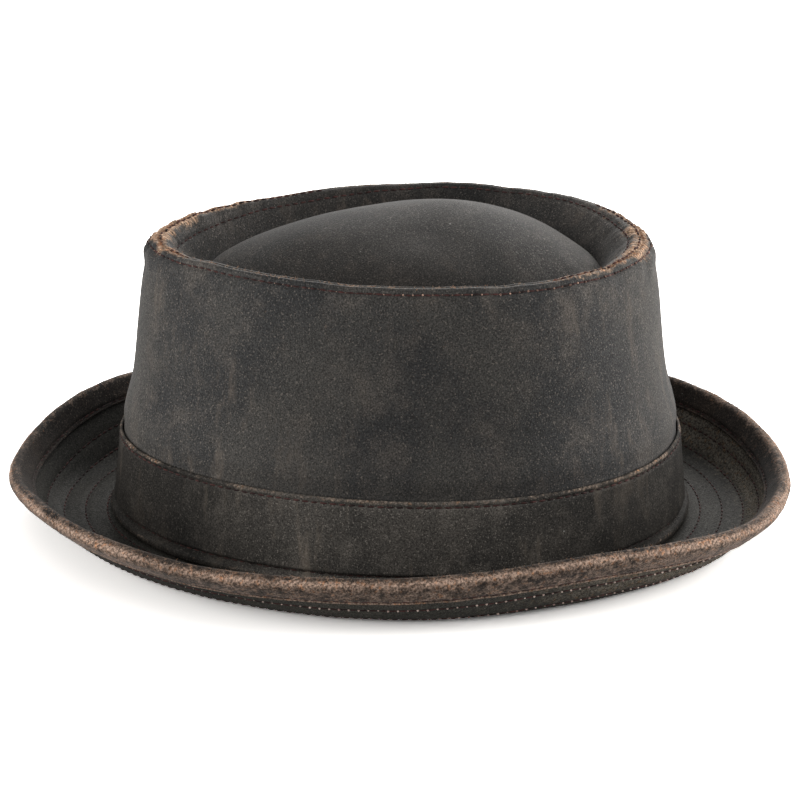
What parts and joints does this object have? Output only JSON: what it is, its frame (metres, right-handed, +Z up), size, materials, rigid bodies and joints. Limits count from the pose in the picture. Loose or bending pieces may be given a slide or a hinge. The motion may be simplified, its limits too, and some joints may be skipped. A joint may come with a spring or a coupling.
{
  "type": "porkpie hat",
  "caption": "Soft cloth porkpie hat: upright oval crown with a pinched ridge, sunk top with a low dome, plain hatband, and a stitched brim curled up all round with a bound edge.",
  "frame": {"origin": "on the surface that the hat rests on, below the middle of its outline", "axes": "+Z up through the crown, +Y towards the back of the hat, -Y towards its front, +X towards the wearer's left side"},
  "size_m": [0.2534, 0.295, 0.1195],
  "materials": {
    "crown_cloth": "waxed cotton, dark charcoal with pale scuffs",
    "band_cloth": "waxed cotton, dark brown, rubbed along its top fold",
    "brim_cloth": "waxed cotton, olive black, quilted with dark red rows",
    "binding_cloth": "waxed cotton strip worn through to tan brown",
    "thread": "sewing thread, dark red brown"
  },
  "bodies": {
    "root": {"crown_side": "crown_cloth", "crown_tip": "crown_cloth", "hatband": "band_cloth", "brim_under": "brim_cloth", "brim_upper": "brim_cloth", "brim_binding": "binding_cloth"}
  },
  "joints": []
}
